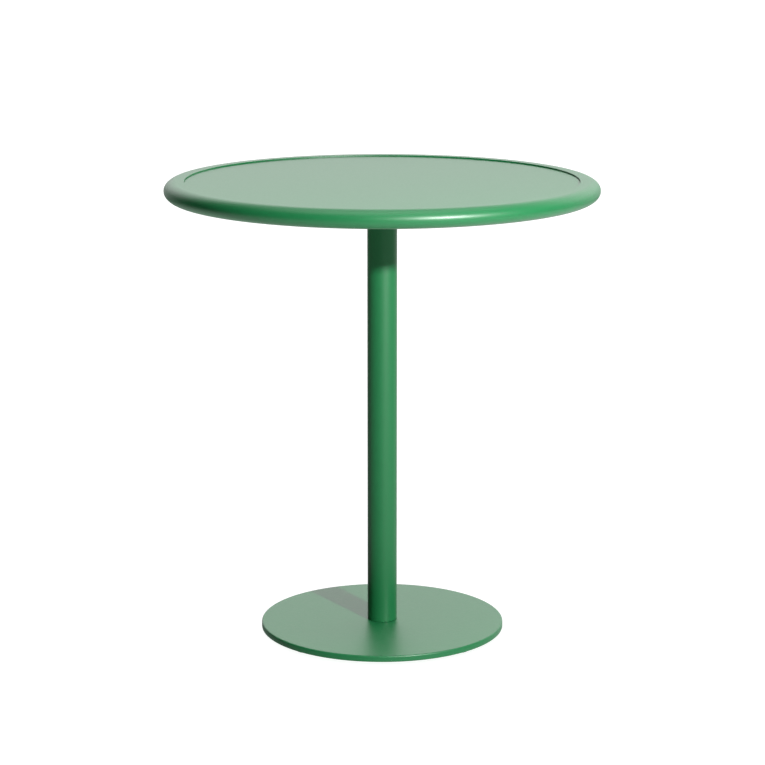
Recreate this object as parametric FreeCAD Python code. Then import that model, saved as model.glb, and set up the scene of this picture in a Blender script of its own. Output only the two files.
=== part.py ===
import FreeCAD, Part
import math
import os

from FreeCAD import Vector

os.makedirs("parts", exist_ok=True)

# A round pedestal table for a bar or cafe. Millimetres, +Z up. The origin is on the
# table's axis, on the floor. The front of the table faces -Y.

# ---- the whole table -------------------------------------------------------------
TABLE_HEIGHT = 750.0
TOP_DIAMETER = 700.0
BASE_DIAMETER = 400.0
BASE_THICKNESS = 10.0
COLUMN_DIAMETER = 48.3
COLUMN_WALL = 2.6

# ---- fits between pieces ---------------------------------------------------------
WELD_GAP = 0.1
THREAD_CLEARANCE = 0.05
PRESSED_CLEARANCE = 0.05
SWIVEL_CLEARANCE = 0.05
EDGE_MATCH = 1e-3

# ---- rim of the top: a hollow rolled section -------------------------------------
RIM_HEIGHT = 30.0
RIM_WALL = 2.0
RIM_NOSE_DEPTH = 19.0
RIM_LAND_WIDTH = 14.0
RIM_LEDGE_WIDTH = 12.0
RIM_LAND_FILLET = 0.8
RIM_FOOT_FILLET = 1.5

# ---- panel set into the rim ------------------------------------------------------
PANEL_THICKNESS = 3.0
PANEL_RECESS = 2.6
PANEL_EDGE_GAP = 0.2

# ---- cross of rectangular tubes under the panel ----------------------------------
BEAM_WIDTH = 40.0
BEAM_HEIGHT = 20.0
BEAM_WALL = 2.0
BEAM_CORNER_RADIUS = 3.0
BEAM_WELD_LEG = 4.0
RIM_WELD_LEG = 5.0

# ---- flange on the head of the column --------------------------------------------
FLANGE_DIAMETER = 180.0
FLANGE_THICKNESS = 6.0
FLANGE_EDGE_CHAMFER = 0.8
SPIGOT_LENGTH = 12.0
HEAD_WELD_LEG = 4.0

# ---- screws that hold the top to the flange --------------------------------------
HEAD_SCREW_CIRCLE = 140.0
HEAD_SCREW_COUNT = 4
SCREW_DIAMETER = 8.0
SCREW_HOLE_DIAMETER = 9.0
SCREW_TIP_CHAMFER = 0.8
HEX_ACROSS_FLATS = 13.0
HEX_HEAD_HEIGHT = 5.3
HEX_HEAD_CHAMFER = 0.7
HEAD_SCREW_LENGTH = 20.0
WASHER_DIAMETER = 16.0
WASHER_THICKNESS = 1.6
WASHER_CLEARANCE = 0.2
RIVET_NUT_DIAMETER = 11.0
RIVET_NUT_LENGTH = 15.0
RIVET_NUT_BARREL_DIAMETER = 10.4
RIVET_BULGE_DIAMETER = 14.4
RIVET_BULGE_LENGTH = 2.5
RIVET_BULGE_SLOPE = 1.7
RIVET_BULGE_LIFT = 0.3

# ---- plug in the foot of the column, and its screws ------------------------------
PLUG_LENGTH = 25.0
PLUG_HOLE_DEPTH = 20.0
FOOT_SCREW_CIRCLE = 26.0
FOOT_SCREW_COUNT = 3
FOOT_SCREW_LENGTH = 25.0
SUNK_HEAD_DIAMETER = 16.0
SUNK_HEAD_RECESS = 0.2
SUNK_HEAD_GAP = 0.1
SOCKET_ACROSS_FLATS = 5.0
SOCKET_DEPTH = 3.0
COLUMN_FOOT_CHAMFER = 0.8

# ---- base plate ------------------------------------------------------------------
BASE_TOP_FILLET = 2.5
BASE_UNDER_FILLET = 1.0

# ---- levelling glides ------------------------------------------------------------
GLIDE_CIRCLE = 350.0
GLIDE_COUNT = 4
GLIDE_FIRST_ANGLE = 45.0
GLIDE_HOLE_DEPTH = 8.2
GLIDE_THREAD_LENGTH = 7.5
GLIDE_HEX_THICKNESS = 2.0
GLIDE_HEX_CORE_DIAMETER = 12.0
PAD_DIAMETER = 30.0
PAD_THICKNESS = 3.0
PAD_FOOT_CHAMFER = 0.6
PAD_SHOULDER_CHAMFER = 0.8
PAD_RECESS_DIAMETER = 13.0
PAD_RECESS_DEPTH = 1.2
SWIVEL_PIN_DIAMETER = 6.0
RIVET_HEAD_DIAMETER = 11.0
RIVET_HEAD_LIFT = 0.4
RIVET_HEAD_PLAY = 0.1

# ---- heights worked out from the floor up ----------------------------------------
BASE_UNDERSIDE = PAD_THICKNESS + GLIDE_HEX_THICKNESS
BASE_TOP = BASE_UNDERSIDE + BASE_THICKNESS
PANEL_TOP = TABLE_HEIGHT - PANEL_RECESS
LEDGE_TOP = PANEL_TOP - PANEL_THICKNESS
BEAM_UNDERSIDE = LEDGE_TOP - BEAM_HEIGHT
COLUMN_TOP = BEAM_UNDERSIDE - FLANGE_THICKNESS
RIM_UNDERSIDE = TABLE_HEIGHT - RIM_HEIGHT

# ---- radii worked out from the outside in ----------------------------------------
NOSE_START_RADIUS = TOP_DIAMETER / 2 - RIM_NOSE_DEPTH
RIM_BORE_RADIUS = NOSE_START_RADIUS - RIM_LAND_WIDTH
WEB_RADIUS = RIM_BORE_RADIUS - RIM_LEDGE_WIDTH
COLUMN_RADIUS = COLUMN_DIAMETER / 2
COLUMN_BORE_RADIUS = COLUMN_RADIUS - COLUMN_WALL
THREADED_HOLE_RADIUS = SCREW_DIAMETER / 2 + THREAD_CLEARANCE


def circle_points(diameter, count, first_angle=0.0):
    """Evenly spaced points on a circle about the table's axis, at height 0."""
    points = []
    for i in range(count):
        angle = math.radians(first_angle + 360.0 * i / count)
        points.append(Vector(math.cos(angle), math.sin(angle), 0) * (diameter / 2))
    return points


def turned(outline):
    """A solid turned about Z from an outline of (radius, height) points."""
    points = [Vector(radius, 0, height) for radius, height in outline]
    face = Part.Face(Part.makePolygon(points + points[:1]))
    return face.revolve(Vector(0, 0, 0), Vector(0, 0, 1), 360)


def cylinder(radius, bottom, top, centre=Vector(0, 0, 0)):
    """An upright cylinder between two heights."""
    return Part.makeCylinder(radius, top - bottom, centre + Vector(0, 0, bottom))


def hex_prism(across_flats, bottom, top):
    """An upright hexagonal prism on the axis."""
    corner_circle = across_flats / math.cos(math.radians(30))
    corners = circle_points(corner_circle, 6)
    face = Part.Face(Part.makePolygon(corners + corners[:1]))
    face.translate(Vector(0, 0, bottom))
    return face.extrude(Vector(0, 0, top - bottom))


def ring_edges(shape, radius, height):
    """The circular edges of a shape at one radius from the axis and one height."""
    found = []
    for edge in shape.Edges:
        curve = edge.Curve
        if not isinstance(curve, Part.Circle):
            continue
        centred = math.hypot(curve.Center.x, curve.Center.y) < EDGE_MATCH
        right_size = abs(curve.Radius - radius) < EDGE_MATCH
        right_height = abs(curve.Center.z - height) < EDGE_MATCH
        if centred and right_size and right_height:
            found.append(edge)
    return found


def copies(solid, places):
    """Separate copies of one solid, as one group."""
    moved = []
    for place in places:
        piece = solid.copy()
        piece.translate(place)
        moved.append(piece)
    return Part.makeCompound(moved)


def rim_section(inset):
    """The rim's cross-section, drawn in from its outer faces by an inset."""
    bore = RIM_BORE_RADIUS + inset
    web = WEB_RADIUS + inset
    top = TABLE_HEIGHT - inset
    ledge = LEDGE_TOP - inset
    bottom = RIM_UNDERSIDE + inset
    nose_top = Vector(NOSE_START_RADIUS, 0, top)
    nose_bottom = Vector(NOSE_START_RADIUS, 0, bottom)
    nose_centre = Vector(NOSE_START_RADIUS, 0, (top + bottom) / 2)
    nose_tip = Vector(TOP_DIAMETER / 2 - inset, 0, nose_centre.z)
    ellipse = Part.Ellipse(nose_tip, nose_top, nose_centre)
    start, end = sorted([ellipse.parameter(nose_bottom), ellipse.parameter(nose_top)])
    if ellipse.value((start + end) / 2).x < NOSE_START_RADIUS:
        start, end = end - 2 * math.pi, start
    nose = ellipse.toShape(start, end)
    straight = [
        nose_top,
        Vector(bore, 0, top),
        Vector(bore, 0, ledge),
        Vector(web, 0, ledge),
        Vector(web, 0, bottom),
        nose_bottom,
    ]
    edges = Part.makePolygon(straight).Edges + [nose]
    return Part.Face(Part.Wire(Part.sortEdges(edges)[0]))


def rim_frame():
    """The ring round the top: half-elliptical nose, flat land, ledge for the panel."""
    axis = Vector(0, 0, 1)
    ring = rim_section(0).revolve(Vector(0, 0, 0), axis, 360)
    ring = ring.makeFillet(RIM_LAND_FILLET, ring_edges(ring, RIM_BORE_RADIUS, TABLE_HEIGHT))
    ring = ring.makeFillet(RIM_FOOT_FILLET, ring_edges(ring, WEB_RADIUS, RIM_UNDERSIDE))
    hollow = rim_section(RIM_WALL).revolve(Vector(0, 0, 0), axis, 360)
    return ring.cut(hollow)


def top_panel():
    """The flat panel that lies on the rim's ledge and on the beams."""
    return cylinder(RIM_BORE_RADIUS - PANEL_EDGE_GAP, LEDGE_TOP, PANEL_TOP)


def rounded_bar(start, end, width, height, bottom, radius):
    """A bar along X with its four long edges rounded."""
    length = end - start
    bar = Part.makeBox(length, width, height, Vector(start, -width / 2, bottom))
    long_edges = [edge for edge in bar.Edges if abs(edge.Length - length) < EDGE_MATCH]
    return bar.makeFillet(radius, long_edges)


def beam(start, end):
    """A rectangular tube along X, its ends coped to the inside of the rim."""
    width, height, wall = BEAM_WIDTH, BEAM_HEIGHT, BEAM_WALL
    radius = BEAM_CORNER_RADIUS
    bore_width, bore_height = width - 2 * wall, height - 2 * wall
    outside = rounded_bar(start, end, width, height, BEAM_UNDERSIDE, radius)
    bore = rounded_bar(start, end, bore_width, bore_height, BEAM_UNDERSIDE + wall, radius - wall)
    inside_rim = cylinder(WEB_RADIUS - WELD_GAP, BEAM_UNDERSIDE, LEDGE_TOP)
    tube = outside.cut(bore).common(inside_rim)
    for place in circle_points(HEAD_SCREW_CIRCLE, HEAD_SCREW_COUNT):
        hole_top = BEAM_UNDERSIDE + wall
        tube = tube.cut(cylinder(RIVET_NUT_DIAMETER / 2, BEAM_UNDERSIDE, hole_top, place))
    return tube.removeSplitter()


def long_beam():
    """The beam that crosses the whole top, from side to side."""
    return beam(-WEB_RADIUS, WEB_RADIUS)


def short_beam(direction):
    """A beam from the long beam's side to the rim; direction is the angle of its run."""
    tube = beam(BEAM_WIDTH / 2 + WELD_GAP, WEB_RADIUS)
    tube.rotate(Vector(0, 0, 0), Vector(0, 0, 1), direction)
    return tube


def weld_prism(corner, along, across):
    """A three-cornered weld bead up the flat height of two faces that meet at a corner."""
    points = [corner, corner + along, corner + across, corner]
    face = Part.Face(Part.makePolygon(points))
    face.translate(Vector(0, 0, BEAM_UNDERSIDE + BEAM_CORNER_RADIUS))
    return face.extrude(Vector(0, 0, BEAM_HEIGHT - 2 * BEAM_CORNER_RADIUS))


def rim_weld_beads():
    """Beads up both sides of each beam's end, where it meets the rim."""
    inside_rim = cylinder(WEB_RADIUS, BEAM_UNDERSIDE, LEDGE_TOP)
    end = Vector(WEB_RADIUS, 0, 0)
    beads = []
    for side in (-1, 1):
        corner = end + Vector(0, side * BEAM_WIDTH / 2, 0)
        along = Vector(-RIM_WELD_LEG, 0, 0)
        across = Vector(0, side * RIM_WELD_LEG, 0)
        bead = weld_prism(corner, along, across).common(inside_rim)
        for quarter in range(4):
            turned_bead = bead.copy()
            turned_bead.rotate(Vector(0, 0, 0), Vector(0, 0, 1), 90 * quarter)
            beads.append(turned_bead)
    return Part.makeCompound(beads)


def beam_weld_beads():
    """Beads up the four inner corners of the cross."""
    beads = []
    for side_x in (-1, 1):
        for side_y in (-1, 1):
            corner = Vector(side_x, side_y, 0) * (BEAM_WIDTH / 2)
            along = Vector(side_x * BEAM_WELD_LEG, 0, 0)
            across = Vector(0, side_y * BEAM_WELD_LEG, 0)
            beads.append(weld_prism(corner, along, across))
    return Part.makeCompound(beads)


def head_flange():
    """The round flange with a spigot that centres it in the column."""
    spigot_radius = COLUMN_BORE_RADIUS - PRESSED_CLEARANCE
    rim_radius = FLANGE_DIAMETER / 2
    bevel = FLANGE_EDGE_CHAMFER
    flange = turned([
        (0, COLUMN_TOP - SPIGOT_LENGTH),
        (spigot_radius - bevel, COLUMN_TOP - SPIGOT_LENGTH),
        (spigot_radius, COLUMN_TOP - SPIGOT_LENGTH + bevel),
        (spigot_radius, COLUMN_TOP),
        (rim_radius - bevel, COLUMN_TOP),
        (rim_radius, COLUMN_TOP + bevel),
        (rim_radius, BEAM_UNDERSIDE),
        (0, BEAM_UNDERSIDE),
    ])
    for place in circle_points(HEAD_SCREW_CIRCLE, HEAD_SCREW_COUNT):
        hole = cylinder(SCREW_HOLE_DIAMETER / 2, COLUMN_TOP, BEAM_UNDERSIDE, place)
        flange = flange.cut(hole)
    return flange


def head_weld_bead():
    """The fillet weld round the column, under the flange."""
    return turned([
        (COLUMN_RADIUS, COLUMN_TOP),
        (COLUMN_RADIUS, COLUMN_TOP - HEAD_WELD_LEG),
        (COLUMN_RADIUS + HEAD_WELD_LEG, COLUMN_TOP),
    ])


def column_tube():
    """The round tube between the base plate and the flange."""
    return turned([
        (COLUMN_BORE_RADIUS, BASE_TOP),
        (COLUMN_RADIUS - COLUMN_FOOT_CHAMFER, BASE_TOP),
        (COLUMN_RADIUS, BASE_TOP + COLUMN_FOOT_CHAMFER),
        (COLUMN_RADIUS, COLUMN_TOP),
        (COLUMN_BORE_RADIUS, COLUMN_TOP),
    ])


def foot_plug():
    """The solid plug in the column's foot, tapped for the screws from below."""
    radius = COLUMN_BORE_RADIUS - PRESSED_CLEARANCE
    plug = cylinder(radius, BASE_TOP, BASE_TOP + PLUG_LENGTH)
    for place in circle_points(FOOT_SCREW_CIRCLE, FOOT_SCREW_COUNT, 90.0):
        hole_top = BASE_TOP + PLUG_HOLE_DEPTH
        plug = plug.cut(cylinder(THREADED_HOLE_RADIUS, BASE_TOP, hole_top, place))
    return plug


def base_plate():
    """The heavy round plate, drilled from below so that its top stays plain."""
    radius = BASE_DIAMETER / 2
    plate = cylinder(radius, BASE_UNDERSIDE, BASE_TOP)
    plate = plate.makeFillet(BASE_TOP_FILLET, ring_edges(plate, radius, BASE_TOP))
    plate = plate.makeFillet(BASE_UNDER_FILLET, ring_edges(plate, radius, BASE_UNDERSIDE))
    sink_radius = SUNK_HEAD_DIAMETER / 2 + SUNK_HEAD_RECESS + SUNK_HEAD_GAP
    sink_depth = sink_radius - SCREW_HOLE_DIAMETER / 2
    sunk_hole = turned([
        (0, BASE_UNDERSIDE),
        (sink_radius, BASE_UNDERSIDE),
        (SCREW_HOLE_DIAMETER / 2, BASE_UNDERSIDE + sink_depth),
        (SCREW_HOLE_DIAMETER / 2, BASE_TOP),
        (0, BASE_TOP),
    ])
    plate = plate.cut(copies(sunk_hole, circle_points(FOOT_SCREW_CIRCLE, FOOT_SCREW_COUNT, 90.0)))
    for place in glide_places():
        hole_top = BASE_UNDERSIDE + GLIDE_HOLE_DEPTH
        plate = plate.cut(cylinder(THREADED_HOLE_RADIUS, BASE_UNDERSIDE, hole_top, place))
    return plate


def foot_screws():
    """Countersunk socket screws up through the base plate into the plug."""
    head_radius = SUNK_HEAD_DIAMETER / 2
    shank_radius = SCREW_DIAMETER / 2
    bottom = BASE_UNDERSIDE + SUNK_HEAD_RECESS
    screw = turned([
        (0, bottom),
        (head_radius, bottom),
        (shank_radius, bottom + head_radius - shank_radius),
        (shank_radius, bottom + FOOT_SCREW_LENGTH - SCREW_TIP_CHAMFER),
        (shank_radius - SCREW_TIP_CHAMFER, bottom + FOOT_SCREW_LENGTH),
        (0, bottom + FOOT_SCREW_LENGTH),
    ])
    screw = screw.cut(hex_prism(SOCKET_ACROSS_FLATS, bottom, bottom + SOCKET_DEPTH))
    return copies(screw, circle_points(FOOT_SCREW_CIRCLE, FOOT_SCREW_COUNT, 90.0))


def hex_screw(head_bottom):
    """A hexagon screw on the axis that points up, from the underside of its head."""
    head_top = head_bottom + HEX_HEAD_HEIGHT
    corner_radius = HEX_ACROSS_FLATS / 2 / math.cos(math.radians(30))
    bevelled = turned([
        (0, head_bottom),
        (corner_radius - HEX_HEAD_CHAMFER, head_bottom),
        (corner_radius, head_bottom + HEX_HEAD_CHAMFER / 2),
        (corner_radius, head_top),
        (0, head_top),
    ])
    head = hex_prism(HEX_ACROSS_FLATS, head_bottom, head_top).common(bevelled)
    shank_radius = SCREW_DIAMETER / 2
    tip = head_top + HEAD_SCREW_LENGTH
    shank = turned([
        (0, head_top),
        (shank_radius, head_top),
        (shank_radius, tip - SCREW_TIP_CHAMFER),
        (shank_radius - SCREW_TIP_CHAMFER, tip),
        (0, tip),
    ])
    return head.fuse(shank).removeSplitter()


def head_screws():
    """Hexagon screws up through the flange into the rivet nuts."""
    head_bottom = COLUMN_TOP - WASHER_THICKNESS - HEX_HEAD_HEIGHT
    places = circle_points(HEAD_SCREW_CIRCLE, HEAD_SCREW_COUNT)
    return copies(hex_screw(head_bottom), places)


def head_washers():
    """Plain washers between the screw heads and the flange."""
    washer = turned([
        (SCREW_DIAMETER / 2 + WASHER_CLEARANCE, COLUMN_TOP - WASHER_THICKNESS),
        (WASHER_DIAMETER / 2, COLUMN_TOP - WASHER_THICKNESS),
        (WASHER_DIAMETER / 2, COLUMN_TOP),
        (SCREW_DIAMETER / 2 + WASHER_CLEARANCE, COLUMN_TOP),
    ])
    return copies(washer, circle_points(HEAD_SCREW_CIRCLE, HEAD_SCREW_COUNT))


def rivet_nuts():
    """Blind threaded rivets, closed inside the bottom wall of each beam."""
    collar = RIVET_NUT_DIAMETER / 2 - PRESSED_CLEARANCE
    barrel = RIVET_NUT_BARREL_DIAMETER / 2
    bulge = RIVET_BULGE_DIAMETER / 2
    seat = BEAM_UNDERSIDE + BEAM_WALL + PRESSED_CLEARANCE
    bulge_bottom = seat + RIVET_BULGE_LIFT
    bulge_top = bulge_bottom + RIVET_BULGE_LENGTH
    top = BEAM_UNDERSIDE + RIVET_NUT_LENGTH
    nut = turned([
        (THREADED_HOLE_RADIUS, BEAM_UNDERSIDE),
        (collar, BEAM_UNDERSIDE),
        (collar, seat),
        (bulge, bulge_bottom),
        (bulge, bulge_top),
        (barrel, bulge_top + RIVET_BULGE_SLOPE),
        (barrel, top),
        (THREADED_HOLE_RADIUS, top),
    ])
    return copies(nut, circle_points(HEAD_SCREW_CIRCLE, HEAD_SCREW_COUNT))


def glide_places():
    """Where the levelling glides stand, at height 0."""
    return circle_points(GLIDE_CIRCLE, GLIDE_COUNT, GLIDE_FIRST_ANGLE)


def glide_stem():
    """The threaded stem: screw, hexagon to turn it by, swivel pin, riveted end."""
    pin = SWIVEL_PIN_DIAMETER / 2
    screw = SCREW_DIAMETER / 2
    core = GLIDE_HEX_CORE_DIAMETER / 2
    tip = BASE_UNDERSIDE + GLIDE_THREAD_LENGTH
    rivet_top = PAD_RECESS_DEPTH - RIVET_HEAD_PLAY
    body = turned([
        (0, RIVET_HEAD_LIFT),
        (RIVET_HEAD_DIAMETER / 2, RIVET_HEAD_LIFT),
        (RIVET_HEAD_DIAMETER / 2, rivet_top),
        (pin, rivet_top),
        (pin, PAD_THICKNESS),
        (core, PAD_THICKNESS),
        (core, BASE_UNDERSIDE),
        (screw, BASE_UNDERSIDE),
        (screw, tip - SCREW_TIP_CHAMFER),
        (screw - SCREW_TIP_CHAMFER, tip),
        (0, tip),
    ])
    hexagon = hex_prism(HEX_ACROSS_FLATS, PAD_THICKNESS, BASE_UNDERSIDE)
    return body.fuse(hexagon).removeSplitter()


def glide_pad():
    """The pad that stands on the floor and swivels on the stem's pin."""
    bore = SWIVEL_PIN_DIAMETER / 2 + SWIVEL_CLEARANCE
    radius = PAD_DIAMETER / 2
    return turned([
        (PAD_RECESS_DIAMETER / 2, 0),
        (radius - PAD_FOOT_CHAMFER, 0),
        (radius, PAD_FOOT_CHAMFER),
        (radius, PAD_THICKNESS - PAD_SHOULDER_CHAMFER),
        (radius - PAD_SHOULDER_CHAMFER, PAD_THICKNESS),
        (bore, PAD_THICKNESS),
        (bore, PAD_RECESS_DEPTH),
        (PAD_RECESS_DIAMETER / 2, PAD_RECESS_DEPTH),
    ])


def all_parts():
    """Every piece of the table, by the name of its node."""
    parts = {
        "rim_frame": rim_frame(),
        "top_panel": top_panel(),
        "beam_long": long_beam(),
        "beam_short_front": short_beam(-90),
        "beam_short_rear": short_beam(90),
        "rim_weld_beads": rim_weld_beads(),
        "beam_weld_beads": beam_weld_beads(),
        "rivet_nuts": rivet_nuts(),
        "head_flange": head_flange(),
        "head_weld_bead": head_weld_bead(),
        "head_screws": head_screws(),
        "head_washers": head_washers(),
        "column_tube": column_tube(),
        "foot_plug": foot_plug(),
        "base_plate": base_plate(),
        "foot_screws": foot_screws(),
    }
    for number, place in enumerate(glide_places(), 1):
        for name, solid in (("stem", glide_stem()), ("pad", glide_pad())):
            solid.translate(place)
            parts[f"glide_{number}_{name}"] = solid
    return parts


for node, shape in all_parts().items():
    shape.exportStep(f"parts/{node}.step")
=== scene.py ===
import math

import bmesh
import bpy
from mathutils import Matrix, Vector


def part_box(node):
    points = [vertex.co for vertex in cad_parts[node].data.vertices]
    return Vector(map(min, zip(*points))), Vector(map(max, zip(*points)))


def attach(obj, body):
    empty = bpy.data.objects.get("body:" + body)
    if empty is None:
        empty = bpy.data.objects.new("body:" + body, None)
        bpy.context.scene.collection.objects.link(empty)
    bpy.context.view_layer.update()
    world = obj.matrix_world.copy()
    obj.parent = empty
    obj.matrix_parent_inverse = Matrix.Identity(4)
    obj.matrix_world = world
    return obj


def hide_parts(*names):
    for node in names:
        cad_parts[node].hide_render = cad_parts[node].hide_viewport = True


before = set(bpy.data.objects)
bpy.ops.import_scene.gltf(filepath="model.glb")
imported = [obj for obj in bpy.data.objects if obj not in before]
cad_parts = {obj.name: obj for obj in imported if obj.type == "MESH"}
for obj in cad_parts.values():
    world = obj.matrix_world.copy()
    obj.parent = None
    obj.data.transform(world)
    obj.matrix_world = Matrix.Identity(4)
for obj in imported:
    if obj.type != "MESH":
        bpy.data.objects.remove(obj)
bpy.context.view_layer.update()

MM = 0.001

# ---- round-off and mesh fineness -------------------------------------------------
TINY = 1e-7
CUT_MARGIN = 1 * MM
SHARP_ANGLE = math.radians(30)
WIDE_SEGMENTS = 384
COLUMN_SEGMENTS = 128
SMALL_SEGMENTS = 48
PAD_SEGMENTS = 96
CORNER_STEPS = 8
NOSE_STEPS = 64

# ---- the rim's section, the panel and the plates, as the CAD part has them -------
NOSE_DEPTH = 19 * MM
LAND_WIDTH = 14 * MM
LEDGE_WIDTH = 12 * MM
LAND_FILLET = 0.8 * MM
RIM_FOOT_FILLET = 1.5 * MM
PANEL_EDGE_FILLET = 0.4 * MM
BASE_TOP_FILLET = 2.5 * MM
BASE_UNDER_FILLET = 1 * MM
SHADING_MARGIN = 0.6 * MM

# ---- column, flange and welds ----------------------------------------------------
WELD_GAP = 0.1 * MM
COLUMN_WALL = 2.6 * MM
COLUMN_FOOT_CHAMFER = 0.8 * MM
FLANGE_EDGE_FILLET = 0.8 * MM
SPIGOT_LENGTH = 12 * MM
WELD_BULGE = 0.7 * MM
WELD_RIPPLE = 0.35 * MM
WELD_RIPPLE_PITCH = 2.4 * MM
WELD_STEPS = 6
WELD_END_SHARE = 0.55
WELD_END_SHARPNESS = 6

# ---- screws and glides -----------------------------------------------------------
SCREW_RADIUS = 4 * MM
SCREW_HOLE_RADIUS = 4.5 * MM
HEX_ACROSS_FLATS = 13 * MM
HEX_HEAD_HEIGHT = 5.3 * MM
HEX_HEAD_BEVEL = 0.8 * MM
HEX_HEAD_BEVEL_STEPS = 4
HEX_HEAD_DISH = 0.25 * MM
HEX_HEAD_DISH_SHARES = (0.7, 0.78)
HEX_BEVEL_SLOPE = 1.7
HEX_OUTER_SHARE = 0.98
WASHER_EDGE = 0.3 * MM
EDGE_BREAK = 0.2 * MM
SOCKET_ACROSS_FLATS = 5 * MM
SOCKET_DEPTH = 3 * MM
HEAD_SCREW_CIRCLE = 70 * MM
HEAD_SCREW_COUNT = 4
FOOT_SCREW_CIRCLE = 13 * MM
FOOT_SCREW_COUNT = 3
FOOT_SCREW_START = 90
SUNK_HEAD_RADIUS = 8 * MM
SINK_GAP = 0.3 * MM
THREADED_HOLE_RADIUS = 4.05 * MM
GLIDE_COUNT = 4
GLIDE_HOLE_DEPTH = 8.2 * MM
GLIDE_HEX_THICKNESS = 2 * MM
GLIDE_HEX_BEVEL = 0.35 * MM
GLIDE_HEX_BEVEL_STEPS = 3
PAD_FOOT_FILLET = 0.6 * MM
PAD_SHOULDER_FILLET = 0.8 * MM
PAD_RECESS_RADIUS = 6.5 * MM
PAD_RECESS_DEPTH = 1.2 * MM
SWIVEL_PIN_RADIUS = 3 * MM
SWIVEL_BORE_RADIUS = 3.05 * MM
SWIVEL_GAP = 0.05 * MM
RIVET_HEAD_RADIUS = 5.5 * MM
RIVET_HEAD_TOP = 1.1 * MM
THREAD_PITCH = 1.25 * MM
THREAD_DEPTH = 0.6 * MM
THREAD_STEPS = 12
THREAD_FLANK = 2.4
THREAD_RUN_IN = 1 * MM
THREAD_END_SHARE = 0.3

# ---- materials; each scale is in cycles a metre ----------------------------------
COAT_COLOURS = ((0.0078, 0.143, 0.0440), (0.0095, 0.155, 0.0485))
COAT_ROUGHNESS = (0.39, 0.45)
COAT_MOTTLE_SCALE = 60
COAT_SHEEN_SCALE = 300
COAT_PEEL_SCALE = 220
COAT_PEEL_HEIGHT = 0.09 * MM
COAT_GRAIN_SCALE = 1600
COAT_GRAIN_HEIGHT = 0.02 * MM
ZINC_COLOURS = ((0.50, 0.51, 0.52), (0.66, 0.67, 0.68))
ZINC_ROUGHNESS = (0.24, 0.42)
ZINC_PATCH_SCALE = 220
ZINC_GRAIN_SCALE = 3000
ZINC_GRAIN_HEIGHT = 0.008 * MM
NYLON_COLOURS = ((0.012, 0.012, 0.013), (0.022, 0.022, 0.024))
NYLON_ROUGHNESS = (0.45, 0.62)
NYLON_MOTTLE_SCALE = 250
NYLON_SHEEN_SCALE = 900
NYLON_GRAIN_SCALE = 2200
NYLON_GRAIN_HEIGHT = 0.02 * MM

# ---- camera ----------------------------------------------------------------------
CAMERA_DISTANCE = 4.01
CAMERA_HEIGHT = 1.2825
CAMERA_AIM_HEIGHT = 0.4165
CAMERA_OFFSET = 0.0005
LENS = 118.3
SENSOR = 36.0

# ---- light: the key lamp is at the front right, the bright wall is behind --------
KEY_POWER = 265.0
HIGHLIGHT_POWER = 400.0
KEY_RADIUS = 0.044
KEY_AZIMUTH = math.radians(31)
KEY_DISTANCE = 2.0
KEY_HEIGHT = 1.317
WALL_AZIMUTH = math.radians(15)
WALL_SIDES = (0.35, 0.9)
WALL_FOOT = (-0.2, -0.15)
WALL_RISE = (0.05, 0.3)
WALL_BRIGHTNESS = (1.03, 2.25)
WALL_TOP = (0.5, 0.7)
WALL_TOP_SHARE = (1.0, 0.3)
LAMP_EDGE = (0.84, 0.92)
LAMP_BRIGHTNESS = (0.0, 2.0)
BOUNCE_DEPTH = (0.1, 0.6)
BOUNCE_BRIGHTNESS = (0.0, 0.85)
BOUNCE_SIDES = (-0.1, 0.1)
SIDE_BOUNCE_DEPTH = (0.08, 0.35)
SIDE_BOUNCE_BRIGHTNESS = (0.0, 0.5)
FLOOR_SIZE = 60.0
FLOOR_GLOW = 0.95
FLOOR_COLOUR = 0.3


# ================================================================== shapes
# A shape is (points, faces). Each function below makes one closed solid.

def arc(centre, radii, start, end, steps):
    """Points of an elliptical arc, as (radius, height); the angles are in degrees."""
    points = []
    for i in range(steps + 1):
        angle = math.radians(start + (end - start) * i / steps)
        radius = centre[0] + radii[0] * math.cos(angle)
        points.append((radius, centre[1] + radii[1] * math.sin(angle)))
    return points


def corner(centre, radius, start, end):
    """Points of a small round corner, as (radius, height)."""
    return arc(centre, (radius, radius), start, end, CORNER_STEPS)


def turned(outline, segments, reshape=None):
    """A solid turned about Z from (radius, height) points. The outline either starts and ends on
    the axis or closes on itself. reshape(radius, height, angle) gives a radius that varies."""
    points, rings = [], []
    for radius, height in outline:
        first = len(points)
        if radius < TINY:
            points.append((0, 0, height))
            rings.append([first] * segments)
            continue
        for k in range(segments):
            angle = 2 * math.pi * k / segments
            r = reshape(radius, height, angle) if reshape else radius
            points.append((r * math.cos(angle), r * math.sin(angle), height))
        rings.append(list(range(first, first + segments)))
    pairs = list(zip(rings, rings[1:]))
    if outline[0][0] >= TINY:
        pairs.append((rings[-1], rings[0]))
    faces = []
    for low, high in pairs:
        for k in range(segments):
            following = (k + 1) % segments
            loop = [low[k], low[following], high[following], high[k]]
            faces.append(list(dict.fromkeys(loop)))
    return points, faces


def prism(sections):
    """A solid through a row of closed sections with the same number of points, capped at its ends."""
    count = len(sections[0])
    points = [tuple(point) for section in sections for point in section]
    faces = [list(range(count)), list(range(len(points) - count, len(points)))]
    for i in range(len(sections) - 1):
        for k in range(count):
            following = (k + 1) % count
            low, high = i * count, (i + 1) * count
            faces.append([low + k, low + following, high + following, high + k])
    return points, faces


def moved(shape, matrix):
    """A shape carried by a matrix."""
    points, faces = shape
    return [tuple(matrix @ Vector(point)) for point in points], faces


def at(place):
    return Matrix.Translation(place)


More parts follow.
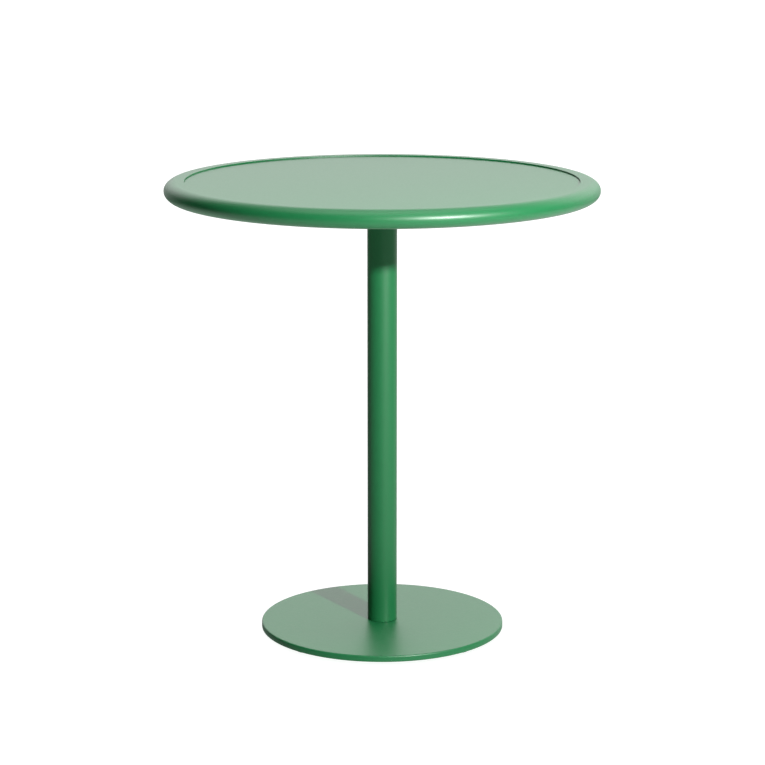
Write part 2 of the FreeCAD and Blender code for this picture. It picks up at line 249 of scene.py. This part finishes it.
def on_circle(radius, count, first_angle=0.0):
    """Evenly spaced points on a circle about the table's axis, at height 0."""
    places = []
    for i in range(count):
        angle = math.radians(first_angle + 360 * i / count)
        places.append(Vector((radius * math.cos(angle), radius * math.sin(angle), 0)))
    return places


def hexagon_radius(across_flats, angle):
    """How far a hexagon's side is from its centre, with a corner at angle 0."""
    sixth = math.pi / 3
    return across_flats / 2 / math.cos(angle % sixth - sixth / 2)


# ================================================================== pieces

def make_object(name, shapes):
    """One mesh object from several shapes, with smooth faces and sharp edges kept sharp."""
    points, faces = [], []
    for shape_points, shape_faces in shapes:
        first = len(points)
        points.extend(shape_points)
        faces.extend([[first + i for i in face] for face in shape_faces])
    mesh = bpy.data.meshes.new(name)
    mesh.from_pydata(points, [], faces)
    piece = bpy.data.objects.new(name, mesh)
    bpy.context.scene.collection.objects.link(piece)
    tidy_mesh(mesh)
    return piece


def tidy_mesh(mesh):
    """Turns every face outwards and sets the shading."""
    work = bmesh.new()
    work.from_mesh(mesh)
    bmesh.ops.recalc_face_normals(work, faces=work.faces)
    work.to_mesh(mesh)
    work.free()
    mesh.shade_smooth()
    mesh.set_sharp_from_angle(angle=SHARP_ANGLE)


def cut_away(piece, cutter):
    """Takes the cutter's solids out of the piece's mesh, then removes the cutter."""
    modifier = piece.modifiers.new("holes", "BOOLEAN")
    modifier.operation = "DIFFERENCE"
    modifier.solver = "EXACT"
    modifier.object = cutter
    evaluated = piece.evaluated_get(bpy.context.evaluated_depsgraph_get())
    drilled = bpy.data.meshes.new_from_object(evaluated)
    piece.modifiers.clear()
    piece.data = drilled
    bpy.data.objects.remove(cutter)
    tidy_mesh(drilled)


def finish_piece(piece, material, body, nodes):
    """Gives a piece its material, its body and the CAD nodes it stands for."""
    piece.data.materials.clear()
    piece.data.materials.append(material)
    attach(piece, body)
    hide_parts(*nodes)


def rim_outline():
    """The rim's section: bore, land, half-elliptical nose, flat foot, web and ledge."""
    low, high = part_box("rim_frame")
    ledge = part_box("top_panel")[0].z
    nose_start = high.x - NOSE_DEPTH
    bore = nose_start - LAND_WIDTH
    web = bore - LEDGE_WIDTH
    half_height = (high.z - low.z) / 2
    nose_centre = (nose_start, high.z - half_height)
    outline = [(bore, ledge)]
    outline += corner((bore + LAND_FILLET, high.z - LAND_FILLET), LAND_FILLET, 180, 90)
    outline += [(bore + LAND_FILLET + SHADING_MARGIN, high.z)]
    outline += arc(nose_centre, (NOSE_DEPTH, half_height), 90, -90, NOSE_STEPS)
    outline += [(web + RIM_FOOT_FILLET + SHADING_MARGIN, low.z)]
    outline += corner((web + RIM_FOOT_FILLET, low.z + RIM_FOOT_FILLET), RIM_FOOT_FILLET, 270, 180)
    outline += [(web, low.z + RIM_FOOT_FILLET + SHADING_MARGIN), (web, ledge)]
    return outline


def make_rim(coat):
    rim = make_object("rim", [turned(rim_outline(), WIDE_SEGMENTS)])
    finish_piece(rim, coat, "table", ["rim_frame"])


def make_panel(coat):
    low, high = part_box("top_panel")
    edge = PANEL_EDGE_FILLET
    outline = [(0, low.z), (high.x, low.z)]
    outline += corner((high.x - edge, high.z - edge), edge, 0, 90)
    outline += [(high.x - edge - SHADING_MARGIN, high.z), (0, high.z)]
    panel = make_object("panel", [turned(outline, WIDE_SEGMENTS)])
    finish_piece(panel, coat, "table", ["top_panel"])
    return panel


def make_column(coat):
    low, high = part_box("column_tube")
    bore = high.x - COLUMN_WALL
    outline = [
        (bore, low.z),
        (high.x - COLUMN_FOOT_CHAMFER, low.z),
        (high.x, low.z + COLUMN_FOOT_CHAMFER),
        (high.x, high.z),
        (bore, high.z),
    ]
    column = make_object("column", [turned(outline, COLUMN_SEGMENTS)])
    finish_piece(column, coat, "table", ["column_tube"])


def make_base(coat):
    """The disc, with its countersinks and its blind holes for the glides."""
    low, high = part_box("base_plate")
    radius = high.x
    top, under = BASE_TOP_FILLET, BASE_UNDER_FILLET
    outline = [(0, low.z), (radius - under - SHADING_MARGIN, low.z)]
    outline += corner((radius - under, low.z + under), under, -90, 0)
    outline += corner((radius - top, high.z - top), top, 0, 90)
    outline += [(radius - top - SHADING_MARGIN, high.z), (0, high.z)]
    base = make_object("base", [turned(outline, WIDE_SEGMENTS)])
    mouth = SUNK_HEAD_RADIUS + SINK_GAP
    sink = [
        (0, low.z - CUT_MARGIN),
        (mouth + CUT_MARGIN, low.z - CUT_MARGIN),
        (SCREW_HOLE_RADIUS, low.z + mouth - SCREW_HOLE_RADIUS),
        (SCREW_HOLE_RADIUS, low.z + GLIDE_HOLE_DEPTH),
        (0, low.z + GLIDE_HOLE_DEPTH),
    ]
    hole = [
        (0, low.z - CUT_MARGIN),
        (THREADED_HOLE_RADIUS, low.z - CUT_MARGIN),
        (THREADED_HOLE_RADIUS, low.z + GLIDE_HOLE_DEPTH),
        (0, low.z + GLIDE_HOLE_DEPTH),
    ]
    cutters = [moved(turned(sink, SMALL_SEGMENTS), at(place)) for place in foot_screw_places()]
    cutters += [moved(turned(hole, SMALL_SEGMENTS), at(place)) for place in glide_places()]
    cut_away(base, make_object("base_holes", cutters))
    finish_piece(base, coat, "table", ["base_plate"])


def make_flange(coat):
    """The round flange under the beams, with its spigot and four holes."""
    low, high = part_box("head_flange")
    radius, face = high.x, low.z + SPIGOT_LENGTH
    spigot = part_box("column_tube")[1].x - COLUMN_WALL - WELD_GAP
    edge = FLANGE_EDGE_FILLET
    outline = [(0, low.z), (spigot, low.z), (spigot, face), (radius - edge - SHADING_MARGIN, face)]
    outline += corner((radius - edge, face + edge), edge, -90, 0)
    outline += [(radius, high.z), (0, high.z)]
    flange = make_object("flange", [turned(outline, WIDE_SEGMENTS)])
    drill = [
        (0, face - CUT_MARGIN),
        (SCREW_HOLE_RADIUS, face - CUT_MARGIN),
        (SCREW_HOLE_RADIUS, high.z + CUT_MARGIN),
        (0, high.z + CUT_MARGIN),
    ]
    drills = [moved(turned(drill, SMALL_SEGMENTS), at(place)) for place in head_screw_places()]
    cut_away(flange, make_object("flange_holes", drills))
    finish_piece(flange, coat, "table", ["head_flange"])


# ================================================================== welds

def weld_face(leg_a, leg_b, swell):
    """The rounded face of a fillet weld, as distances out along its two legs."""
    points = []
    for i in range(WELD_STEPS + 1):
        share = i / WELD_STEPS
        bulge = swell * math.sin(math.pi * share)
        points.append((leg_a * (1 - share) + bulge, leg_b * share + bulge))
    return points


def ripple(distance):
    """The scalloped surface that a weld bead leaves, from 0 to 1 along its run."""
    return abs(math.sin(math.pi * distance / WELD_RIPPLE_PITCH))


def weld_run(root, along, across, leg, low, high):
    """An upright weld bead in the corner at root, between two faces."""
    steps = round((high - low) / WELD_RIPPLE_PITCH * CORNER_STEPS)
    sections = []
    for i in range(steps + 1):
        height = low + (high - low) * i / steps
        taper = math.sqrt(max(0.0, 1 - abs(2 * i / steps - 1) ** WELD_END_SHARPNESS))
        size = leg * (WELD_END_SHARE + (1 - WELD_END_SHARE) * taper)
        swell = taper * (WELD_BULGE + WELD_RIPPLE * ripple(height - low))
        section = [Vector((root.x, root.y, height)) - (along + across) * WELD_GAP]
        for a, b in weld_face(size, size, swell):
            section.append(Vector((root.x, root.y, height)) + along * a + across * b)
        sections.append(section)
    return prism(sections)


def make_rim_welds(coat):
    """Beads up both sides of each beam's end."""
    low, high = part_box("rim_weld_beads")
    half_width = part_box("beam_long")[1].y
    rim_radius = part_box("beam_long")[1].x + WELD_GAP
    reach = math.sqrt(rim_radius ** 2 - half_width ** 2)
    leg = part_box("beam_weld_beads")[1].x - half_width
    shapes = []
    for side in (-1, 1):
        root = Vector((reach, side * half_width, 0))
        inward, outward = Vector((-1, 0, 0)), Vector((0, side, 0))
        bead = weld_run(root, inward, outward, leg, low.z, high.z)
        for quarter in range(4):
            shapes.append(moved(bead, Matrix.Rotation(quarter * math.pi / 2, 4, "Z")))
    welds = make_object("rim_welds", shapes)
    finish_piece(welds, coat, "table", ["rim_weld_beads"])


def make_cross_welds(coat):
    """Beads up the four inner corners of the cross."""
    low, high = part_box("beam_weld_beads")
    half_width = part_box("beam_long")[1].y
    leg = high.x - half_width
    shapes = []
    for side_x in (-1, 1):
        for side_y in (-1, 1):
            root = Vector((side_x, side_y, 0)) * half_width
            along, across = Vector((side_x, 0, 0)), Vector((0, side_y, 0))
            shapes.append(weld_run(root, along, across, leg, low.z, high.z))
    welds = make_object("cross_welds", shapes)
    finish_piece(welds, coat, "table", ["beam_weld_beads"])


def make_head_weld(coat):
    """The ring of weld between the column and the flange."""
    low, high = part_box("head_weld_bead")
    column_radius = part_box("column_tube")[1].x
    leg = high.x - column_radius
    outline = [(column_radius - WELD_GAP, high.z)]
    outline += [(column_radius + b, high.z - a) for a, b in weld_face(leg, leg, WELD_BULGE)]
    ripples = round(2 * math.pi * column_radius / WELD_RIPPLE_PITCH)

    def scalloped(radius, height, angle):
        share = (radius - column_radius) / leg
        depth = WELD_RIPPLE * 4 * share * (1 - share) if 0 < share < 1 else 0.0
        return radius + depth * abs(math.sin(angle * ripples / 2))

    weld = make_object("head_weld", [turned(outline, ripples * CORNER_STEPS, scalloped)])
    finish_piece(weld, coat, "table", ["head_weld_bead"])


# ================================================================== screws and glides

def head_screw_places():
    return on_circle(HEAD_SCREW_CIRCLE, HEAD_SCREW_COUNT)


def foot_screw_places():
    return on_circle(FOOT_SCREW_CIRCLE, FOOT_SCREW_COUNT, FOOT_SCREW_START)


def glide_places():
    places = []
    for number in range(1, GLIDE_COUNT + 1):
        low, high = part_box(f"glide_{number}_pad")
        centre = (low + high) / 2
        places.append(Vector((centre.x, centre.y, 0)))
    return places


def hexagonal(across_flats, low, high, bevel):
    """A reshape function for a hexagon between two heights, its corners bevelled at both ends."""
    corner_radius = hexagon_radius(across_flats, 0)

    def reshape(radius, height, angle):
        if radius < across_flats / 2 * HEX_OUTER_SHARE or not low <= height <= high:
            return radius
        depth = min(height - low, high - height)
        cone = corner_radius - max(0.0, bevel - depth) * HEX_BEVEL_SLOPE
        return min(hexagon_radius(across_flats, angle), cone)

    return reshape


def make_head_screws(zinc):
    """Hexagon screws and washers under the flange."""
    low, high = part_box("head_screws")
    flange_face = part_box("head_washers")[1].z
    head_top = low.z + HEX_HEAD_HEIGHT
    flat = HEX_ACROSS_FLATS / 2
    bevel, steps = HEX_HEAD_BEVEL, HEX_HEAD_BEVEL_STEPS
    dish, dish_edge = [flat * share for share in HEX_HEAD_DISH_SHARES]
    outline = [(0, low.z + HEX_HEAD_DISH), (dish, low.z + HEX_HEAD_DISH), (dish_edge, low.z)]
    outline += [(flat, low.z + bevel * i / steps) for i in range(steps + 1)]
    outline += [(flat, head_top), (SCREW_RADIUS, head_top), (SCREW_RADIUS, high.z), (0, high.z)]
    bevelled = hexagonal(HEX_ACROSS_FLATS, low.z, high.z, bevel)
    screw = turned(outline, SMALL_SEGMENTS, bevelled)
    screws = make_object("hex_screws", [moved(screw, at(p)) for p in head_screw_places()])
    finish_piece(screws, zinc, "table", ["head_screws"])
    washer_low, washer_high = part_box("head_washers")
    radius = washer_high.x - HEAD_SCREW_CIRCLE
    edge = WASHER_EDGE
    outline = [(SCREW_RADIUS + edge, washer_low.z), (radius - edge, washer_low.z)]
    outline += [(radius, washer_low.z + edge), (radius, flange_face), (SCREW_RADIUS + edge, flange_face)]
    washer = turned(outline, SMALL_SEGMENTS)
    washers = make_object("washers", [moved(washer, at(p)) for p in head_screw_places()])
    finish_piece(washers, zinc, "table", ["head_washers"])


def make_foot_screws(zinc):
    """Countersunk screws with a hexagon socket, seen from below."""
    low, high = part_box("foot_screws")
    socket = SOCKET_ACROSS_FLATS / 2
    shank_start = low.z + SUNK_HEAD_RADIUS - SCREW_RADIUS
    outline = [
        (0, low.z + SOCKET_DEPTH),
        (socket, low.z + SOCKET_DEPTH),
        (socket, low.z),
        (SUNK_HEAD_RADIUS - EDGE_BREAK, low.z),
        (SUNK_HEAD_RADIUS, low.z + EDGE_BREAK),
        (SCREW_RADIUS, shank_start),
        (SCREW_RADIUS, high.z),
        (0, high.z),
    ]

    def socketed(radius, height, angle):
        return hexagon_radius(SOCKET_ACROSS_FLATS, angle) if radius <= socket else radius

    screw = turned(outline, SMALL_SEGMENTS, socketed)
    screws = make_object("sunk_screws", [moved(screw, at(p)) for p in foot_screw_places()])
    finish_piece(screws, zinc, "table", ["foot_screws"])


def glide_stem_shape(low, high, pad_top):
    """The glide's screw with its thread, the hexagon, the swivel pin and the riveted end."""
    hex_low = pad_top + SWIVEL_GAP
    hex_top = pad_top + GLIDE_HEX_THICKNESS
    flat = HEX_ACROSS_FLATS / 2
    bevel, steps = GLIDE_HEX_BEVEL, GLIDE_HEX_BEVEL_STEPS
    outline = [(0, low), (RIVET_HEAD_RADIUS - EDGE_BREAK, low), (RIVET_HEAD_RADIUS, low + EDGE_BREAK)]
    outline += [(RIVET_HEAD_RADIUS, RIVET_HEAD_TOP), (SWIVEL_PIN_RADIUS, RIVET_HEAD_TOP)]
    outline += [(SWIVEL_PIN_RADIUS, hex_low)]
    outline += [(flat, hex_low + bevel * i / steps) for i in range(steps + 1)]
    outline += [(flat, hex_top - bevel * i / steps) for i in range(steps, -1, -1)]
    thread_steps = round((high - hex_top) / THREAD_PITCH * THREAD_STEPS)
    outline += [
        (SCREW_RADIUS, hex_top + (high - hex_top) * i / thread_steps) for i in range(thread_steps + 1)
    ]
    outline += [(0, high)]
    bevelled = hexagonal(HEX_ACROSS_FLATS, hex_low, hex_top, bevel)

    def reshape(radius, height, angle):
        if abs(radius - SCREW_RADIUS) > TINY or height < hex_top:
            return bevelled(radius, height, angle)
        turn = (height / THREAD_PITCH - angle / (2 * math.pi)) % 1
        groove = max(0.0, 1 - THREAD_FLANK * abs(turn - 0.5))
        start = (height - hex_top) / THREAD_RUN_IN
        end = (high - height) / THREAD_RUN_IN + THREAD_END_SHARE
        fade = min(1.0, start, end)
        return SCREW_RADIUS - THREAD_DEPTH * groove * fade

    return turned(outline, SMALL_SEGMENTS, reshape)


def make_glides(zinc, nylon):
    """A threaded stem and a swivelling pad for each of the four levelling glides."""
    for number, place in enumerate(glide_places(), 1):
        stem_low, stem_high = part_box(f"glide_{number}_stem")
        pad_low, pad_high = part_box(f"glide_{number}_pad")
        stem_shape = glide_stem_shape(stem_low.z, stem_high.z, pad_high.z)
        stem = make_object(f"glide_stem_{number}", [stem_shape])
        stem.location = place
        finish_piece(stem, zinc, f"glide_{number}_stem", [f"glide_{number}_stem"])
        radius = (pad_high.x - pad_low.x) / 2
        foot, shoulder = PAD_FOOT_FILLET, PAD_SHOULDER_FILLET
        outline = [(PAD_RECESS_RADIUS, pad_low.z)]
        outline += corner((radius - foot, pad_low.z + foot), foot, -90, 0)
        outline += corner((radius - shoulder, pad_high.z - shoulder), shoulder, 0, 90)
        outline += [
            (SWIVEL_BORE_RADIUS, pad_high.z),
            (SWIVEL_BORE_RADIUS, pad_low.z + PAD_RECESS_DEPTH),
            (PAD_RECESS_RADIUS, pad_low.z + PAD_RECESS_DEPTH),
        ]
        pad = make_object(f"glide_foot_{number}", [turned(outline, PAD_SEGMENTS)])
        pad.location = place
        finish_piece(pad, nylon, f"glide_{number}_pad", [f"glide_{number}_pad"])


# ================================================================== materials

def node_material(name):
    """A new material with an empty Principled shader, and its node tree."""
    material = bpy.data.materials.new(name)
    material.use_nodes = True
    tree = material.node_tree
    shader = tree.nodes["Principled BSDF"]
    return material, tree, shader


def noise(tree, scale, detail=3, roughness=0.5):
    """A noise texture in the object's own coordinates; scale is in cycles a metre."""
    coordinates = tree.nodes.new("ShaderNodeTexCoord")
    texture = tree.nodes.new("ShaderNodeTexNoise")
    texture.inputs["Scale"].default_value = scale
    texture.inputs["Detail"].default_value = detail
    texture.inputs["Roughness"].default_value = roughness
    tree.links.new(coordinates.outputs["Object"], texture.inputs["Vector"])
    return texture.outputs["Fac"]


def blend_colours(tree, value, low, high):
    """Maps a 0 to 1 value to the colours between two."""
    node = tree.nodes.new("ShaderNodeMix")
    node.data_type = "RGBA"
    factor, first, second = node.inputs[0], node.inputs[6], node.inputs[7]
    first.default_value = (*low, 1)
    second.default_value = (*high, 1)
    tree.links.new(value, factor)
    return node.outputs[2]


def blend_numbers(tree, value, low, high):
    """Maps a 0 to 1 value to the numbers between two."""
    node = tree.nodes.new("ShaderNodeMapRange")
    node.inputs["To Min"].default_value = low
    node.inputs["To Max"].default_value = high
    tree.links.new(value, node.inputs["Value"])
    return node.outputs["Result"]


def vary(tree, shader, colour_noise, colours, roughness_noise, roughness):
    """Gives a shader a colour and a roughness that each follow a noise."""
    colour = blend_colours(tree, colour_noise, *colours)
    tree.links.new(colour, shader.inputs["Base Color"])
    gloss = blend_numbers(tree, roughness_noise, *roughness)
    tree.links.new(gloss, shader.inputs["Roughness"])


def bump(tree, heights, shader):
    """Stacks bump maps on a shader; each is (height from 0 to 1, what 1 is in metres)."""
    normal = None
    for value, distance in heights:
        node = tree.nodes.new("ShaderNodeBump")
        node.inputs["Distance"].default_value = distance
        tree.links.new(value, node.inputs["Height"])
        if normal:
            tree.links.new(normal, node.inputs["Normal"])
        normal = node.outputs["Normal"]
    tree.links.new(normal, shader.inputs["Normal"])


def powder_coat():
    """Satin green powder coat: slightly mottled, with orange peel under a fine grain."""
    material, tree, shader = node_material("green_powder_coat")
    mottle = noise(tree, COAT_MOTTLE_SCALE, detail=6, roughness=0.6)
    vary(tree, shader, mottle, COAT_COLOURS, noise(tree, COAT_SHEEN_SCALE), COAT_ROUGHNESS)
    peel = (noise(tree, COAT_PEEL_SCALE), COAT_PEEL_HEIGHT)
    grain = (noise(tree, COAT_GRAIN_SCALE), COAT_GRAIN_HEIGHT)
    bump(tree, [peel, grain], shader)
    return material


def zinc_plate():
    """Bright zinc plate on steel, with dull patches and a fine grain."""
    material, tree, shader = node_material("zinc_plate")
    shader.inputs["Metallic"].default_value = 1.0
    patches = noise(tree, ZINC_PATCH_SCALE, detail=5, roughness=0.65)
    vary(tree, shader, patches, ZINC_COLOURS, patches, ZINC_ROUGHNESS)
    bump(tree, [(noise(tree, ZINC_GRAIN_SCALE), ZINC_GRAIN_HEIGHT)], shader)
    return material


def black_nylon():
    """Moulded black nylon with a fine matt grain."""
    material, tree, shader = node_material("black_nylon")
    mottle = noise(tree, NYLON_MOTTLE_SCALE, detail=4)
    vary(tree, shader, mottle, NYLON_COLOURS, noise(tree, NYLON_SHEEN_SCALE), NYLON_ROUGHNESS)
    bump(tree, [(noise(tree, NYLON_GRAIN_SCALE), NYLON_GRAIN_HEIGHT)], shader)
    return material


def dress_cad_nodes(coat, zinc):
    """The CAD nodes that stay as they are get finished materials too."""
    beams = ["beam_long", "beam_short_front", "beam_short_rear"]
    dressed = [(node, coat) for node in beams + ["foot_plug"]] + [("rivet_nuts", zinc)]
    for node, material in dressed:
        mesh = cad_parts[node].data
        mesh.materials.clear()
        mesh.materials.append(material)


# ================================================================== stage, light and camera

def make_floor():
    """A pale floor that glows a little. It is seen from above only, so that the table can be looked
    at from below, and the studio's own bounce light stands in for what it would throw back."""
    half = FLOOR_SIZE / 2
    points = [(x * half, y * half, 0) for x, y in ((-1, -1), (1, -1), (1, 1), (-1, 1))]
    mesh = bpy.data.meshes.new("floor")
    mesh.from_pydata(points, [], [(0, 1, 2, 3)])
    floor = bpy.data.objects.new("floor", mesh)
    bpy.context.scene.collection.objects.link(floor)
    floor.visible_diffuse = False
    floor.visible_glossy = False
    floor.visible_shadow = False
    material, tree, shader = node_material("floor")
    shader.inputs["Base Color"].default_value = (FLOOR_COLOUR, FLOOR_COLOUR, FLOOR_COLOUR, 1)
    shader.inputs["Roughness"].default_value = 1.0
    shader.inputs["Specular IOR Level"].default_value = 0.0
    shader.inputs["Emission Color"].default_value = (1, 1, 1, 1)
    shader.inputs["Emission Strength"].default_value = FLOOR_GLOW
    side = tree.nodes.new("ShaderNodeNewGeometry")
    clear = tree.nodes.new("ShaderNodeBsdfTransparent")
    choice = tree.nodes.new("ShaderNodeMixShader")
    tree.links.new(side.outputs["Backfacing"], choice.inputs[0])
    tree.links.new(shader.outputs["BSDF"], choice.inputs[1])
    tree.links.new(clear.outputs["BSDF"], choice.inputs[2])
    tree.links.new(choice.outputs["Shader"], tree.nodes["Material Output"].inputs["Surface"])
    mesh.materials.append(material)
    return floor


def graded(tree, value, span, brightness=(0.0, 1.0)):
    """A smooth step across a span of the value, from the first brightness to the second."""
    node = tree.nodes.new("ShaderNodeMapRange")
    node.interpolation_type = "SMOOTHSTEP"
    node.inputs["From Min"].default_value, node.inputs["From Max"].default_value = span
    node.inputs["To Min"].default_value, node.inputs["To Max"].default_value = brightness
    tree.links.new(value, node.inputs["Value"])
    return node.outputs["Result"]


def combined(tree, operation, first, *others):
    """Several values added, multiplied or compared in turn."""
    for other in others:
        node = tree.nodes.new("ShaderNodeMath")
        node.operation = operation
        tree.links.new(first, node.inputs[0])
        tree.links.new(other, node.inputs[1])
        first = node.outputs[0]
    return first


def make_studio():
    """A dark studio with a bright wall behind the table, a lamp overhead and light from the floor
    below. The camera itself sees plain white all round."""
    world = bpy.data.worlds.new("studio")
    bpy.context.scene.world = world
    world.use_nodes = True
    tree = world.node_tree
    direction = tree.nodes.new("ShaderNodeTexCoord").outputs["Generated"]
    axes = tree.nodes.new("ShaderNodeSeparateXYZ")
    tree.links.new(direction, axes.inputs["Vector"])
    level = tree.nodes.new("ShaderNodeVectorMath")
    level.operation = "MULTIPLY"
    level.inputs[1].default_value = (1, 1, 0)    # takes the height out of the direction
    heading = tree.nodes.new("ShaderNodeVectorMath")
    heading.operation = "NORMALIZE"
    facing = tree.nodes.new("ShaderNodeVectorMath")
    facing.operation = "DOT_PRODUCT"
    facing.inputs[1].default_value = (math.sin(WALL_AZIMUTH), math.cos(WALL_AZIMUTH), 0)
    tree.links.new(direction, level.inputs[0])
    tree.links.new(level.outputs["Vector"], heading.inputs[0])
    tree.links.new(heading.outputs["Vector"], facing.inputs[0])
    below = tree.nodes.new("ShaderNodeMath")
    below.operation = "MULTIPLY"
    below.inputs[1].default_value = -1.0
    tree.links.new(axes.outputs["Z"], below.inputs[0])
    wall = combined(
        tree,
        "MULTIPLY",
        graded(tree, facing.outputs["Value"], WALL_SIDES),
        graded(tree, axes.outputs["Z"], WALL_FOOT),
        graded(tree, axes.outputs["Z"], WALL_RISE, WALL_BRIGHTNESS),
        graded(tree, axes.outputs["Z"], WALL_TOP, WALL_TOP_SHARE),
    )
    side_bounce = combined(
        tree,
        "MULTIPLY",
        graded(tree, axes.outputs["X"], BOUNCE_SIDES, SIDE_BOUNCE_BRIGHTNESS),
        graded(tree, below.outputs["Value"], SIDE_BOUNCE_DEPTH),
    )
    lamp = graded(tree, axes.outputs["Z"], LAMP_EDGE, LAMP_BRIGHTNESS)
    bounce = graded(tree, below.outputs["Value"], BOUNCE_DEPTH, BOUNCE_BRIGHTNESS)
    seen = tree.nodes.new("ShaderNodeLightPath").outputs["Is Camera Ray"]
    light = combined(tree, "ADD", wall, lamp, bounce, side_bounce)
    background = tree.nodes["Background"]
    background.inputs["Color"].default_value = (1, 1, 1, 1)
    tree.links.new(combined(tree, "MAXIMUM", light, seen), background.inputs["Strength"])


def make_lamp(name, power, unlit):
    """The key lamp at the front right, which leaves some objects unlit."""
    lamp = bpy.data.lights.new(name, "POINT")
    lamp.energy = power
    lamp.shadow_soft_size = KEY_RADIUS
    key = bpy.data.objects.new(name, lamp)
    bpy.context.scene.collection.objects.link(key)
    across, forward = math.sin(KEY_AZIMUTH), math.cos(KEY_AZIMUTH)
    key.location = (across * KEY_DISTANCE, -forward * KEY_DISTANCE, KEY_HEIGHT)
    key.visible_camera = False
    left_out = bpy.data.collections.new(f"{name}_unlit")
    for index, piece in enumerate(unlit):
        left_out.objects.link(piece)
        left_out.collection_objects[index].light_linking.link_state = "EXCLUDE"
    key.light_linking.receiver_collection = left_out
    return key


def make_key(floor, panel):
    """The key in two halves, so that the flat panel isn't washed out by the lamp's own mirror image
    when it is seen from behind: one half gives the light, the other the highlights."""
    make_lamp("key_light", KEY_POWER, [floor]).visible_glossy = False
    make_lamp("key_highlights", HIGHLIGHT_POWER, [floor, panel]).visible_diffuse = False


def make_camera():
    data = bpy.data.cameras.new("camera")
    data.lens = LENS
    data.sensor_width = SENSOR
    camera = bpy.data.objects.new("camera", data)
    bpy.context.scene.collection.objects.link(camera)
    camera.location = (CAMERA_OFFSET, -CAMERA_DISTANCE, CAMERA_HEIGHT)
    aim = Vector((CAMERA_OFFSET, 0, CAMERA_AIM_HEIGHT))
    camera.rotation_euler = (aim - camera.location).to_track_quat("-Z", "Y").to_euler()
    bpy.context.scene.camera = camera
    bpy.context.scene.view_settings.view_transform = "Standard"


make_camera()
make_studio()
floor = make_floor()
green = powder_coat()
zinc = zinc_plate()
nylon = black_nylon()
make_rim(green)
panel = make_panel(green)
make_column(green)
make_base(green)
make_flange(green)
make_rim_welds(green)
make_cross_welds(green)
make_head_weld(green)
make_head_screws(zinc)
make_foot_screws(zinc)
make_glides(zinc, nylon)
dress_cad_nodes(green, zinc)
make_key(floor, panel)
